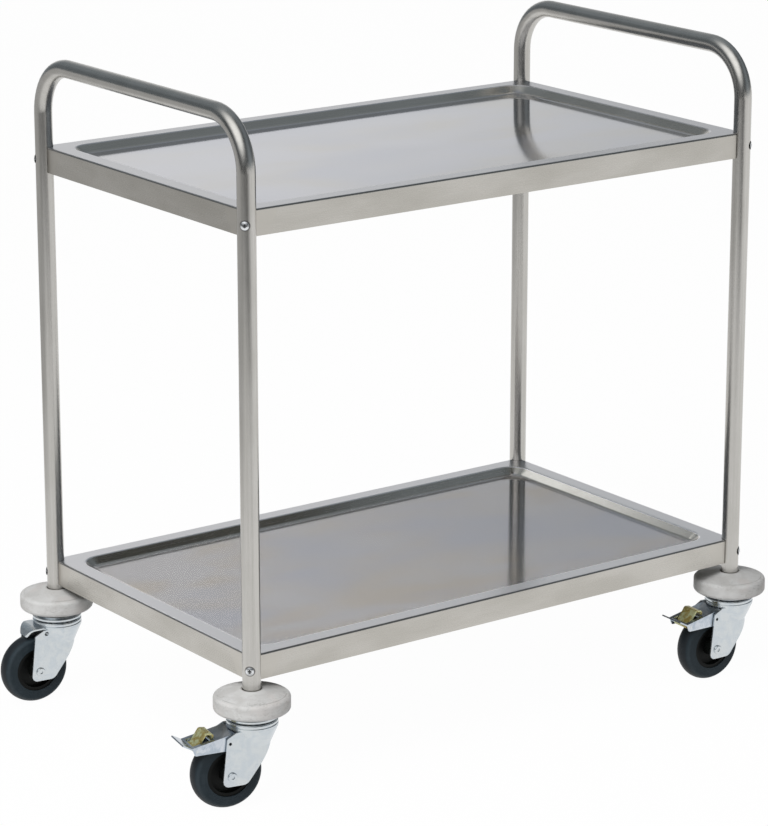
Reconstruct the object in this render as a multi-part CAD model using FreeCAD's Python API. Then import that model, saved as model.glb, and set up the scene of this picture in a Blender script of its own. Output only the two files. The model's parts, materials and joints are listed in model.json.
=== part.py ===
import FreeCAD, Part
import math
import os

# Two-tier serving cart on swivel castors.
# Origin on the floor midway between the legs, X along the trays, Y across them, Z up.
# All sizes are in millimetres and the front long side faces -Y.

Vector = FreeCAD.Vector
across = Vector(0, 1, 0)
up = Vector(0, 0, 1)

# Layout
leg_spacing_x = 844.0
leg_spacing_y = 500.0
shelf_spacing = 602.4
handle_rise = 117.5
tray_above_bumper = 6.0

# End frames of bent tube
tube_diameter = 25.0
tube_wall = 1.25
handle_bend_radius = 70.0

# Pressed sheet trays
tray_height = 35.7
tray_overhang = 2.8
tray_sheet = 1.0
tray_edge_radius = 2.5
rim_width = 25.0
recess_depth = 10.5
recess_wall_run = 14.0
recess_corner_radius = 32.0
recess_floor_radius = 12.0
recess_mouth_radius = 4.0
hem_width = 12.0
notch_clearance = 0.6

# Corner screws and the nut blocks welded behind the notches
screw_diameter = 6.0
screw_head_diameter = 12.0
screw_head_height = 1.7
screw_dome = 1.3
screw_height = 17.5
screw_tail = 1.5
drive_width = 1.5
drive_length = 5.6
drive_depth = 1.1
nut_block_width = 20.0
nut_block_height = 13.0
nut_block_depth = 9.0
screw_hole_clearance = 0.3
thread_clearance = 0.05
seat_clearance = 0.05

# Bumper discs
bumper_diameter = 104.0
bumper_height = 30.0
bumper_dome = 8.5
bumper_side = 19.0
bumper_edge_radius = 5.0
bumper_lip_radius = 1.2
bumper_foot_diameter = 96.0
bumper_bore_clearance = 0.5
front_left_bumper_lift = 4.0
front_right_bumper_lift = 0.5
rear_left_bumper_lift = 8.0
rear_right_bumper_lift = 3.0

# Stems and the inserts that hold them in the legs
stem_diameter = 12.0
stem_head_width = 19.0
stem_head_height = 8.0
stem_head_gap = 0.4
insert_length = 40.0
insert_clearance = 0.05
running_clearance = 0.05

# Swivel heads
crown_diameter = 70.0
crown_sheet = 3.5
crown_skirt = 9.5
crown_edge_radius = 2.0
crown_groove_drop = 5.0
crown_groove_width = 1.8
crown_groove_depth = 1.3
crown_gap = 17.0
race_gap = 2.6
race_height = 4.4
race_flange = 2.4
race_neck_diameter = 58.0
ball_diameter = 6.0
ball_circle_diameter = 50.0
ball_count = 20
ball_clearance = 0.3

# Wheels
wheel_diameter = 100.0
wheel_trail = 39.0
tyre_width = 28.0
tyre_crown = 6.0
tyre_shoulder_radius = 4.0
tyre_inner_diameter = 63.0
hub_diameter = 24.0
hub_side_gap = 1.5
centre_web = 12.0
centre_flange = 5.0
centre_side_step = 1.5
axle_diameter = 8.0
axle_head_diameter = 13.0
axle_head_height = 2.6
axle_dimple_diameter = 5.0
axle_dimple_depth = 1.6
axle_nut_width = 13.0
axle_nut_height = 6.5
axle_tail = 1.5
sleeve_diameter = 12.0

# Forks
fork_side_gap = 8.0
fork_sheet = 2.5
fork_flare_height = 24.0
fork_foot_drop = 13.5
fork_foot_back = 13.7
fork_foot_front = 21.3
fork_heel_radius = 8.0
fork_toe_radius = 12.0
fork_shoulder_x = 45.5
fork_shoulder_drop = 13.0
fork_leading_drop = 5.0
pivot_hole_diameter = 6.2
visor_reach = 54.0
visor_sheet = 2.0
visor_rise = 1.0
visor_bend_radius = 12.0
visor_tip_gap = 3.0
visor_plan_radius = 24.0
visor_hole_x = 28.0
visor_hole_drop = 11.2

# Brake pedals
pedal_travel = 10.0
pedal_pivot_back = 2.3
pedal_pivot_drop = 3.0
pedal_sheet = 2.0
pedal_side_gap = 1.0
pedal_inner_x = 33.0
pedal_inner_rise = 9.6
pedal_outer_x = 94.0
pedal_outer_drop = 2.5
pedal_skirt_drop = 13.0
pedal_corner_radius = 2.0
toe_length = 13.0
toe_rise = 6.0
window_start_x = 66.0
window_end_x = 91.0
window_width = 29.0
pad_start_x = 47.0
pad_end_x = 63.0
pad_width = 26.0
pad_gap = 0.4
rivet_bore = 4.4

# Release levers
lever_width = 27.0
lever_sheet = 2.2
lever_pin_x = 87.0
lever_pin_drop = 8.0
lever_pin_diameter = 4.0
lever_eye_diameter = 6.6
lever_hump_x = 71.5
lever_hump_rise = 10.0
lever_top_fall = 1.5
lever_tail_x = 62.0
lever_tail_rise = 1.2
lever_bend_radius = 3.0

# Legs: side along X, side along Y, direction the wheel trails in, bumper lift, brake fitted
legs = {
    "front_left": (-1, -1, 168.5, front_left_bumper_lift, True),
    "front_right": (1, -1, 178.0, front_right_bumper_lift, True),
    "rear_left": (-1, 1, 174.0, rear_left_bumper_lift, False),
    "rear_right": (1, 1, 176.0, rear_right_bumper_lift, False),
}

# Heights above the floor, stacked from the wheels up
wheel_radius = wheel_diameter / 2
crown_bottom = wheel_diameter + crown_gap
crown_top = crown_bottom + crown_sheet
race_bottom = crown_top + race_gap
leg_bottom = race_bottom + race_height
highest_lift = max(lift for side_x, side_y, angle, lift, braked in legs.values())
lower_tray_bottom = leg_bottom + highest_lift + bumper_height + tray_above_bumper
upper_tray_bottom = lower_tray_bottom + shelf_spacing
handle_height = upper_tray_bottom + tray_height + handle_rise

# Widths shared by pieces that fit together
tube_radius = tube_diameter / 2
tube_bore_radius = tube_radius - tube_wall
notch_radius = tube_radius + notch_clearance
tray_half_x = leg_spacing_x / 2 + tray_overhang
tray_half_y = leg_spacing_y / 2 + tray_overhang
screw_hole_radius = screw_diameter / 2 + screw_hole_clearance
fork_inner = tyre_width / 2 + fork_side_gap
fork_outer = fork_inner + fork_sheet
fork_reach = wheel_trail + wheel_radius
pedal_outer = fork_inner - pedal_side_gap
pedal_inner = pedal_outer - pedal_sheet
axle = Vector(wheel_trail, 0, wheel_radius)
pedal_pivot = Vector(wheel_trail + pedal_pivot_back, 0, wheel_diameter - pedal_pivot_drop)
pedal_inner_top = wheel_diameter + pedal_inner_rise
pedal_outer_top = wheel_diameter - pedal_outer_drop
pedal_slope = (pedal_outer_top - pedal_inner_top) / (pedal_outer_x - pedal_inner_x)


def rounded_edges(corners, closed):
    # Straight runs through corners of (x, z, radius) in the XZ plane, joined by tangent arcs
    points = [Vector(x, 0, z) for x, z, radius in corners]
    starts = []
    ends = []
    arcs = []
    for index, (x, z, radius) in enumerate(corners):
        corner = points[index]
        at_end = not closed and index in (0, len(corners) - 1)
        if radius == 0 or at_end:
            starts.append(corner)
            ends.append(corner)
            arcs.append(None)
            continue
        back = (points[index - 1] - corner).normalize()
        ahead = (points[(index + 1) % len(points)] - corner).normalize()
        half = back.getAngle(ahead) / 2
        setback = radius / math.tan(half)
        middle = (back + ahead).normalize() * (radius / math.sin(half) - radius)
        starts.append(corner + back * setback)
        ends.append(corner + ahead * setback)
        arcs.append(Part.Arc(starts[-1], corner + middle, ends[-1]).toShape())
    edges = []
    for index, arc in enumerate(arcs):
        if arc:
            edges.append(arc)
        following = (index + 1) % len(corners)
        if following or closed:
            edges.append(Part.LineSegment(ends[index], starts[following]).toShape())
    return edges


def side_prism(corners, half_width):
    # Closed side outline pushed out equally to both sides of the XZ plane
    face = Part.Face(Part.Wire(rounded_edges(corners, True)))
    face.translate(across * -half_width)
    return face.extrude(across * (2 * half_width))


def offset_line(corners, offset):
    # Open side line moved sideways to its left, each bend staying concentric
    points = [Vector(x, 0, z) for x, z, radius in corners]
    normals = []
    for start, end in zip(points, points[1:]):
        normals.append((end - start).normalize().cross(across))
    moved = []
    for index, (x, z, radius) in enumerate(corners):
        before = normals[max(index - 1, 0)]
        after = normals[min(index, len(normals) - 1)]
        mitre = (before + after).normalize()
        place = points[index] + mitre * (offset / mitre.dot(before))
        turn = before.cross(after).dot(across)
        bend = radius + math.copysign(offset, turn * offset) if radius else 0
        moved.append((place.x, place.z, bend))
    return moved


def bent_strip(corners, thickness, half_width):
    # Sheet strip that follows an open side line, with the line at mid thickness
    left = offset_line(corners, thickness / 2)
    right = offset_line(corners, -thickness / 2)
    return side_prism(left + right[::-1], half_width)


def turned(profile, base, direction):
    # Closed profile of points in the XZ plane, turned about a line
    face = Part.Face(Part.makePolygon([Vector(x, 0, z) for x, z in profile + profile[:1]]))
    return face.revolve(base, direction, 360)


def centred_box(half_x, half_y, bottom, top):
    return Part.makeBox(2 * half_x, 2 * half_y, top - bottom, Vector(-half_x, -half_y, bottom))


def rod(start, direction, radius, length):
    return Part.makeCylinder(radius, length, start, direction)


def cross_rod(centre, radius, half_length):
    return rod(centre - across * half_length, across, radius, 2 * half_length)


def hexagon(base, direction, width, height):
    # Prism with six flats, width measured across them
    corner_radius = width / 2 / math.cos(math.pi / 6)
    points = []
    for index in range(6):
        angle = math.pi / 3 * index
        points.append(Vector(corner_radius * math.cos(angle), corner_radius * math.sin(angle), 0))
    prism = Part.Face(Part.makePolygon(points + points[:1])).extrude(up * height)
    prism.Placement = FreeCAD.Placement(base, FreeCAD.Rotation(up, direction))
    return prism


def leg_axis(side_x, side_y):
    return Vector(side_x * leg_spacing_x / 2, side_y * leg_spacing_y / 2, 0)


def outward(side_x, side_y):
    return Vector(side_x, side_y, 0).normalize()


def screw_axis(side_x, side_y, tray_bottom):
    return leg_axis(side_x, side_y) + up * (tray_bottom + screw_height)


def end_frame(side_x):
    # One tube bent into two legs and a handle
    half_y = leg_spacing_y / 2
    line = [
        (-half_y, leg_bottom, 0),
        (-half_y, handle_height, handle_bend_radius),
        (half_y, handle_height, handle_bend_radius),
        (half_y, leg_bottom, 0),
    ]
    path = Part.Wire(rounded_edges(line, False))
    ring = []
    for radius in (tube_radius, tube_bore_radius):
        circle = Part.Wire(Part.makeCircle(radius, Vector(-half_y, 0, leg_bottom), up))
        ring.append(path.makePipeShell([circle], True, False))
    frame = ring[0].cut(ring[1])
    frame.rotate(Vector(0, 0, 0), up, 90)
    frame.translate(Vector(side_x * leg_spacing_x / 2, 0, 0))
    for side_y in (-1, 1):
        for tray_bottom in (lower_tray_bottom, upper_tray_bottom):
            start = screw_axis(side_x, side_y, tray_bottom) + outward(side_x, side_y) * tube_diameter
            hole = rod(start, -outward(side_x, side_y), screw_hole_radius, 2 * tube_diameter)
            frame = frame.cut(hole)
    return frame


def rounded_top_block(half_x, half_y, bottom, top, radius):
    # Block whose four top edges are rounded along their whole length
    front = [(-half_x, bottom, 0), (half_x, bottom, 0), (half_x, top, radius), (-half_x, top, radius)]
    end = [(-half_y, bottom, 0), (half_y, bottom, 0), (half_y, top, radius), (-half_y, top, radius)]
    along_y = side_prism(front, half_y)
    along_x = side_prism(end, half_x)
    along_x.rotate(Vector(0, 0, 0), up, 90)
    return along_y.common(along_x)


def leg_columns(radius, bottom, top):
    columns = []
    for side_x, side_y, angle, lift, braked in legs.values():
        columns.append(rod(leg_axis(side_x, side_y) + up * bottom, up, radius, top - bottom))
    return Part.makeCompound(columns)


def rounded_rectangle(half_x, half_y, radius, height):
    corners = [(-half_x, -half_y, radius), (half_x, -half_y, radius)]
    corners += [(half_x, half_y, radius), (-half_x, half_y, radius)]
    wire = Part.Wire(rounded_edges(corners, True))
    wire.rotate(Vector(0, 0, 0), Vector(1, 0, 0), -90)
    wire.translate(up * height)
    return wire


def tray_tub(grow, top):
    # Dished recess with sloping walls, grown outwards by the sheet for its underside
    half_x = tray_half_x - rim_width + grow
    half_y = tray_half_y - rim_width + grow
    radius = recess_corner_radius + grow
    floor = top - recess_depth - grow
    mouth = rounded_rectangle(half_x, half_y, radius, top)
    half_x -= recess_wall_run
    half_y -= recess_wall_run
    base = rounded_rectangle(half_x, half_y, radius - recess_wall_run, floor)
    tub = Part.makeLoft([mouth, base], True, True)
    rim = [edge for edge in tub.Edges if edge.BoundBox.ZMax < floor + tray_sheet / 2]
    return tub.makeFillet(recess_floor_radius + grow, rim)


def tray(bottom):
    # Folded apron with a hem, notched round the legs, and a dished deck
    top = bottom + tray_height
    inner_x = tray_half_x - tray_sheet
    inner_y = tray_half_y - tray_sheet
    inner_radius = tray_edge_radius - tray_sheet
    hem_top = bottom + tray_sheet
    skin = rounded_top_block(tray_half_x, tray_half_y, bottom, top, tray_edge_radius)
    skin = skin.cut(leg_columns(notch_radius, bottom, top))
    hollow = rounded_top_block(inner_x, inner_y, hem_top, top - tray_sheet, inner_radius)
    hollow = hollow.cut(leg_columns(notch_radius + tray_sheet, bottom, top))
    mouth = centred_box(tray_half_x - hem_width, tray_half_y - hem_width, bottom, hem_top)
    mouth = mouth.cut(leg_columns(notch_radius + hem_width, bottom, top))
    body = skin.cut(hollow).cut(mouth).fuse(tray_tub(tray_sheet, top)).cut(tray_tub(0, top))
    body = body.removeSplitter()
    lip = []
    for edge in body.Edges:
        box = edge.BoundBox
        inside = max(abs(box.XMin), abs(box.XMax)) < tray_half_x - rim_width + tray_sheet / 2
        if inside and box.ZMin > top - tray_sheet / 4:
            lip.append(edge)
    body = body.makeFillet(recess_mouth_radius, lip)
    for side_x, side_y, angle, lift, braked in legs.values():
        start = screw_axis(side_x, side_y, bottom)
        body = body.cut(rod(start, -outward(side_x, side_y), screw_hole_radius, tube_diameter))
    return body


def corner_screws(tray_bottom):
    # Low dome head screws that run diagonally through the legs into the nut blocks
    reach = notch_radius + tray_sheet + nut_block_depth + screw_tail
    seat = tube_radius + seat_clearance
    head_top = seat + screw_head_height
    head_radius = screw_head_diameter / 2
    dome_radius = (head_radius ** 2 + screw_dome ** 2) / (2 * screw_dome)
    screws = []
    for side_x, side_y, angle, lift, braked in legs.values():
        head = rod(up * seat, up, head_radius, screw_head_height)
        head = head.common(Part.makeSphere(dome_radius, up * (head_top - dome_radius)))
        for width, length in ((drive_width, drive_length), (drive_length, drive_width)):
            slot = centred_box(width / 2, length / 2, head_top - drive_depth, head_top)
            head = head.cut(slot)
        screw = head.fuse(rod(Vector(0, 0, -reach), up, screw_diameter / 2, reach + seat))
        turn = FreeCAD.Rotation(up, outward(side_x, side_y))
        screw.Placement = FreeCAD.Placement(screw_axis(side_x, side_y, tray_bottom), turn)
        screws.append(screw)
    return Part.makeCompound(screws)


def corner_nuts(tray_bottom):
    # Blocks with a hollow seat that fits the notch wall from inside
    seat_radius = notch_radius + tray_sheet + seat_clearance
    depth = notch_radius + tray_sheet + nut_block_depth
    nuts = []
    for side_x, side_y, angle, lift, braked in legs.values():
        block = Part.makeBox(depth, nut_block_width, nut_block_height)
        block.translate(Vector(-depth, -nut_block_width / 2, -nut_block_height / 2))
        block = block.cut(rod(up * -nut_block_height, up, seat_radius, 2 * nut_block_height))
        thread = rod(Vector(0, 0, 0), Vector(-1, 0, 0), screw_diameter / 2 + thread_clearance, 2 * depth)
        block = block.cut(thread)
        turn = FreeCAD.Rotation(up, math.degrees(math.atan2(side_y, side_x)))
        block.Placement = FreeCAD.Placement(screw_axis(side_x, side_y, tray_bottom), turn)
        nuts.append(block)
    return Part.makeCompound(nuts)


def leg_inserts():
    # Threaded plugs that hold the castor stems in the legs
    plugs = []
    for side_x, side_y, angle, lift, braked in legs.values():
        base = leg_axis(side_x, side_y) + up * leg_bottom
        plug = rod(base, up, tube_bore_radius - insert_clearance, insert_length)
        plugs.append(plug.cut(rod(base, up, stem_diameter / 2 + thread_clearance, insert_length)))
    return Part.makeCompound(plugs)


def bumper(lift):
    # Domed disc pushed over the foot of the leg, which shields the castor
    rim = bumper_diameter / 2
    foot = bumper_foot_diameter / 2
    bore = tube_radius + bumper_bore_clearance
    bottom = leg_bottom + lift
    side_top = bottom + bumper_height - bumper_dome
    outline = [
        (bore, bottom, 0),
        (bore, bottom + bumper_height, bumper_lip_radius),
        (rim, side_top, bumper_edge_radius),
        (rim, side_top - bumper_side, bumper_edge_radius),
        (foot, bottom, bumper_lip_radius),
    ]
    face = Part.Face(Part.Wire(rounded_edges(outline, True)))
    return face.revolve(Vector(0, 0, 0), up, 360)


def stem():
    # Swivel bolt with its head under the crown
    head_top = crown_bottom - stem_head_gap
    head = hexagon(up * (head_top - stem_head_height), up, stem_head_width, stem_head_height)
    shank = rod(up * head_top, up, stem_diameter / 2, leg_bottom + insert_length - head_top)
    return head.fuse(shank)


def ball_track():
    return Part.makeTorus(
        ball_circle_diameter / 2,
        ball_diameter / 2 + ball_clearance,
        up * (crown_top + race_gap / 2),
    )


def swivel_race():
    # Flanged ring clamped under the leg, grooved for the balls
    bore = stem_diameter / 2 + thread_clearance
    flange = crown_diameter / 2
    neck = race_neck_diameter / 2
    profile = [
        (bore, race_bottom),
        (flange, race_bottom),
        (flange, race_bottom + race_flange),
        (neck, race_bottom + race_flange),
        (neck, leg_bottom),
        (bore, leg_bottom),
    ]
    return turned(profile, Vector(0, 0, 0), up).cut(ball_track())


def swivel_balls():
    centre = Vector(ball_circle_diameter / 2, 0, crown_top + race_gap / 2)
    balls = []
    for index in range(ball_count):
        ball = Part.makeSphere(ball_diameter / 2, centre)
        ball.rotate(Vector(0, 0, 0), up, 360 / ball_count * index)
        balls.append(ball)
    return Part.makeCompound(balls)


def fork_envelope(grow, top):
    # Round under the crown, flaring down into two flat cheeks joined by a rounded front
    half_width = fork_inner + grow
    cone_top = crown_diameter / 2 - fork_sheet + grow
    cone = Part.makeCone(half_width, cone_top, fork_flare_height, up * (top - fork_flare_height))
    nose = rod(Vector(0, 0, 0), up, half_width, top)
    cheeks = Part.makeBox(fork_reach, 2 * half_width, top, Vector(0, -half_width, 0))
    return cone.fuse([nose, cheeks])


def crown_groove():
    # Ring cut round the crown below its rolled edge
    bottom = up * (crown_top - crown_groove_drop - crown_groove_width / 2)
    outside = rod(bottom, up, crown_diameter, crown_groove_width)
    return outside.cut(rod(bottom, up, crown_diameter / 2 - crown_groove_depth, crown_groove_width))


def fork(braked):
    # Pressed fork: crown dish, flared neck and two cheeks that carry the axle
    skirt_bottom = crown_top - crown_skirt
    crown_radius = crown_diameter / 2
    dish = rod(up * skirt_bottom, up, crown_radius, crown_skirt)
    edge = [item for item in dish.Edges if item.BoundBox.ZMin > skirt_bottom + crown_skirt / 2]
    dish = dish.makeFillet(crown_edge_radius, edge)
    dish = dish.cut(rod(up * skirt_bottom, up, crown_radius - fork_sheet, crown_bottom - skirt_bottom))
    dish = dish.cut(crown_groove())
    shell = fork_envelope(fork_sheet, skirt_bottom).cut(fork_envelope(0, skirt_bottom))
    outline = [
        (-crown_radius, skirt_bottom, 0),
        (-crown_radius, skirt_bottom - fork_leading_drop, 0),
        (wheel_trail - fork_foot_front, wheel_radius - fork_foot_drop, fork_toe_radius),
        (wheel_trail + fork_foot_back, wheel_radius - fork_foot_drop, fork_heel_radius),
        (fork_shoulder_x, crown_bottom - fork_shoulder_drop, fork_sheet),
        (crown_radius - fork_sheet, skirt_bottom, 0),
    ]
    shell = shell.common(side_prism(outline, crown_diameter))
    gap = Part.makeBox(fork_reach, 2 * fork_inner, skirt_bottom, Vector(0, -fork_inner, 0))
    body = dish.fuse(shell.cut(gap))
    if not braked:
        body = body.fuse(visor())
    body = body.cut(ball_track())
    body = body.cut(rod(Vector(0, 0, 0), up, stem_diameter / 2 + running_clearance, crown_top))
    body = body.cut(cross_rod(axle, axle_diameter / 2 + seat_clearance, crown_diameter))
    side_hole = pedal_pivot
    if not braked:
        side_hole = Vector(visor_hole_x, 0, crown_bottom - visor_hole_drop)
    body = body.cut(cross_rod(side_hole, pivot_hole_diameter / 2, crown_diameter))
    return body.removeSplitter()


def visor():
    # Rounded lip over the tyre, bent down at its tip
    level = crown_top - crown_skirt + visor_rise + visor_sheet / 2
    line = [
        (crown_diameter / 2 - 2 * fork_sheet, level, 0),
        (visor_reach - visor_bend_radius / 2, level, visor_bend_radius),
        (visor_reach, wheel_diameter + visor_tip_gap - visor_sheet, 0),
    ]
    strip = bent_strip(line, visor_sheet, fork_inner)
    centre = Vector(visor_reach + visor_sheet - visor_plan_radius, 0, 0)
    return strip.common(rod(centre, up, visor_plan_radius, crown_top))


def axle_bolt():
    # Bolt through the cheeks and the sleeve, with a low dimpled head
    length = 2 * fork_outer + axle_nut_height + axle_tail
    shank = rod(axle + across * fork_outer, -across, axle_diameter / 2, length)
    head = rod(axle + across * fork_outer, across, axle_head_diameter / 2, axle_head_height)
    rim = [edge for edge in head.Edges if edge.BoundBox.YMin > fork_outer + axle_head_height / 2]
    head = head.makeFillet(axle_head_height / 2, rim)
    face_y = fork_outer + axle_head_height
    head = head.cut(rod(axle + across * face_y, -across, axle_dimple_diameter / 2, axle_dimple_depth))
    return shank.fuse(head)


def axle_nut():
    nut = hexagon(axle - across * fork_outer, -across, axle_nut_width, axle_nut_height)
    return nut.cut(cross_rod(axle, axle_diameter / 2 + thread_clearance, crown_diameter))


def axle_sleeve():
    sleeve = cross_rod(axle, sleeve_diameter / 2, fork_inner)
    return sleeve.cut(cross_rod(axle, axle_diameter / 2 + seat_clearance, fork_inner))


def tyre():
    half = tyre_width / 2
    inner = tyre_inner_diameter / 2 + seat_clearance
    shoulder = wheel_radius - tyre_crown
    left = Vector(shoulder, -half, 0)
    right = Vector(shoulder, half, 0)
    sides = Part.makePolygon([left, Vector(inner, -half, 0), Vector(inner, half, 0), right])
    tread = Part.Arc(right, Vector(wheel_radius, 0, 0), left).toShape()
    ring = Part.Face(Part.Wire(sides.Edges + [tread])).revolve(Vector(0, 0, 0), across, 360)
    rim = []
    for edge in ring.Edges:
        circle = edge.BoundBox.YLength < tyre_crown and edge.BoundBox.XLength > 2 * shoulder - tyre_crown
        if circle:
            rim.append(edge)
    ring = ring.makeFillet(tyre_shoulder_radius, rim)
    ring.translate(axle)
    return ring


def wheel_centre():
    # Moulded hub, web and flange that the tyre sits on
    bore = sleeve_diameter / 2 + running_clearance
    hub = hub_diameter / 2
    hub_half = fork_inner - hub_side_gap
    flange = tyre_inner_diameter / 2
    flange_half = tyre_width / 2 - centre_side_step
    web_half = centre_web / 2
    half_profile = [(bore, hub_half), (hub, hub_half), (hub, web_half)]
    half_profile += [(flange - centre_flange, web_half), (flange - centre_flange, flange_half)]
    half_profile += [(flange, flange_half)]
    mirrored = [(radius, -side) for radius, side in reversed(half_profile)]
    points = [Vector(radius, side, 0) for radius, side in half_profile + mirrored]
    body = Part.Face(Part.makePolygon(points + points[:1])).revolve(Vector(0, 0, 0), across, 360)
    body.translate(axle)
    return body


def pedal_height(x):
    return pedal_inner_top + pedal_slope * (x - pedal_inner_x)


def brake_pedal():
    # Inverted channel with a window in its top and a flared toe
    skirt_bottom = pedal_outer_top - pedal_skirt_drop + pedal_sheet
    outline = [
        (pedal_inner_x, pedal_height(pedal_inner_x), 0),
        (pedal_outer_x, pedal_height(pedal_outer_x), 0),
        (pedal_outer_x - 2 * pedal_sheet, skirt_bottom, pedal_corner_radius),
        (pedal_inner_x, skirt_bottom, pedal_corner_radius),
    ]
    hollow = [
        (pedal_inner_x - pedal_sheet, pedal_height(pedal_inner_x - pedal_sheet) - pedal_sheet, 0),
        (pedal_outer_x + pedal_sheet, pedal_height(pedal_outer_x + pedal_sheet) - pedal_sheet, 0),
        (pedal_outer_x + pedal_sheet, 0, 0),
        (pedal_inner_x - pedal_sheet, 0, 0),
    ]
    body = side_prism(outline, pedal_outer).cut(side_prism(hollow, pedal_inner))
    toe_start = pedal_outer_x - 2 * pedal_sheet
    half_sheet = pedal_sheet / 2
    toe = [
        (toe_start, pedal_height(toe_start) - half_sheet, 0),
        (pedal_outer_x, pedal_height(pedal_outer_x) - half_sheet, pedal_sheet),
        (pedal_outer_x + toe_length, pedal_outer_top + toe_rise, 0),
    ]
    body = body.fuse(bent_strip(toe, pedal_sheet, pedal_outer))
    corner = Vector(window_start_x, -window_width / 2, skirt_bottom)
    window_length = window_end_x - window_start_x
    body = body.cut(Part.makeBox(window_length, window_width, pedal_inner_top - skirt_bottom, corner))
    body = body.cut(cross_rod(pedal_pivot, pivot_hole_diameter / 2 + running_clearance, pedal_outer))
    body = body.cut(cross_rod(lever_pin_centre(), lever_pin_diameter / 2 + seat_clearance, pedal_outer))
    return body.removeSplitter()


def pivot_rivets():
    # Hollow rivets that the pedal turns on, one in each cheek
    rivets = []
    for side in (-1, 1):
        start = pedal_pivot + across * (side * pedal_inner)
        length = fork_outer - pedal_inner
        barrel = rod(start, across * side, pivot_hole_diameter / 2 - thread_clearance / 2, length)
        rivets.append(barrel.cut(rod(start, across * side, rivet_bore / 2, length)))
    return Part.makeCompound(rivets)


def brake_pad():
    # Block under the pedal, hollowed to the tyre where the pedal is pressed home
    start = pedal_height(pad_start_x) - pedal_sheet
    end = pedal_height(pad_end_x) - pedal_sheet
    outline = [(pad_start_x, start, 0), (pad_end_x, end, 0)]
    outline += [(pad_end_x, wheel_radius, 0), (pad_start_x, wheel_radius, 0)]
    block = side_prism(outline, pad_width / 2)
    pressed_wheel = cross_rod(axle, wheel_radius + pad_gap, tyre_width)
    pressed_wheel.rotate(pedal_pivot, across, -pedal_travel)
    return block.cut(pressed_wheel)


def lever_pin_centre():
    return Vector(lever_pin_x, 0, wheel_diameter - lever_pin_drop)


def lever_pin():
    return cross_rod(lever_pin_centre(), lever_pin_diameter / 2, pedal_outer)


def release_lever():
    # Bent strip that humps through the pedal's window, hung on the pin by a rolled eye
    pin = lever_pin_centre()
    eye_top = pin.z + (lever_eye_diameter - lever_sheet) / 2
    hump = pedal_height(lever_hump_x) + lever_hump_rise
    tail = pedal_height(lever_tail_x) + lever_tail_rise
    line = [
        (pin.x, eye_top, 0),
        (pin.x - lever_eye_diameter / 2, eye_top, lever_bend_radius),
        (lever_hump_x, hump, lever_bend_radius),
        (lever_tail_x, hump - lever_top_fall, lever_bend_radius),
        (lever_tail_x, tail, 0),
    ]
    body = bent_strip(line, lever_sheet, lever_width / 2)
    body = body.fuse(cross_rod(pin, lever_eye_diameter / 2, lever_width / 2))
    return body.cut(cross_rod(pin, lever_pin_diameter / 2 + running_clearance, lever_width))


def castor(lift, braked):
    pieces = {
        "bumper": bumper(lift),
        "stem": stem(),
        "swivel_race": swivel_race(),
        "swivel_balls": swivel_balls(),
        "fork": fork(braked),
        "axle_bolt": axle_bolt(),
        "axle_nut": axle_nut(),
        "axle_sleeve": axle_sleeve(),
        "wheel_centre": wheel_centre(),
        "tyre": tyre(),
    }
    if braked:
        pieces["brake_pedal"] = brake_pedal()
        pieces["brake_pad"] = brake_pad()
        pieces["pivot_rivets"] = pivot_rivets()
        pieces["release_lever"] = release_lever()
        pieces["lever_pin"] = lever_pin()
    return pieces


def cart():
    nodes = {
        "left_end_frame": end_frame(-1),
        "right_end_frame": end_frame(1),
        "upper_tray": tray(upper_tray_bottom),
        "lower_tray": tray(lower_tray_bottom),
        "upper_tray_screws": corner_screws(upper_tray_bottom),
        "lower_tray_screws": corner_screws(lower_tray_bottom),
        "upper_tray_nuts": corner_nuts(upper_tray_bottom),
        "lower_tray_nuts": corner_nuts(lower_tray_bottom),
        "leg_inserts": leg_inserts(),
    }
    for place, (side_x, side_y, angle, lift, braked) in legs.items():
        for name, shape in castor(lift, braked).items():
            shape.rotate(Vector(0, 0, 0), up, angle)
            shape.translate(leg_axis(side_x, side_y))
            nodes[place + "_" + name] = shape
    return nodes


os.makedirs("parts", exist_ok=True)
for node, shape in cart().items():
    shape.exportStep("parts/" + node + ".step")
    print(node, len(shape.Solids), shape.isValid(), round(shape.Volume))
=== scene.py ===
import json
import math

import bpy
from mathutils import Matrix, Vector


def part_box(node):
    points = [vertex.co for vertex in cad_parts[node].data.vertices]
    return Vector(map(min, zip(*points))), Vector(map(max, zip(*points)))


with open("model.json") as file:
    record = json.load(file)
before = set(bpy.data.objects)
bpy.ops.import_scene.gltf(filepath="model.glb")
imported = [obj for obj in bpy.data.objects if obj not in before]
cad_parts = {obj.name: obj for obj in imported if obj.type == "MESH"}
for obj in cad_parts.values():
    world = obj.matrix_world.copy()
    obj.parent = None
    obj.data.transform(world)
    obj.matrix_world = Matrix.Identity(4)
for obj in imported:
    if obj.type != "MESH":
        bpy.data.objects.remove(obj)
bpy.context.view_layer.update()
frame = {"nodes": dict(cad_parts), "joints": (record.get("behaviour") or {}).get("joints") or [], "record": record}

nodes = frame["nodes"]
joints = {joint["name"]: joint for joint in frame["joints"]}
brakedLegs = ("front_left", "front_right")
legNames = (*brakedLegs, "rear_left", "rear_right")
mm = 0.001               # sizes below are written in millimetres


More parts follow.
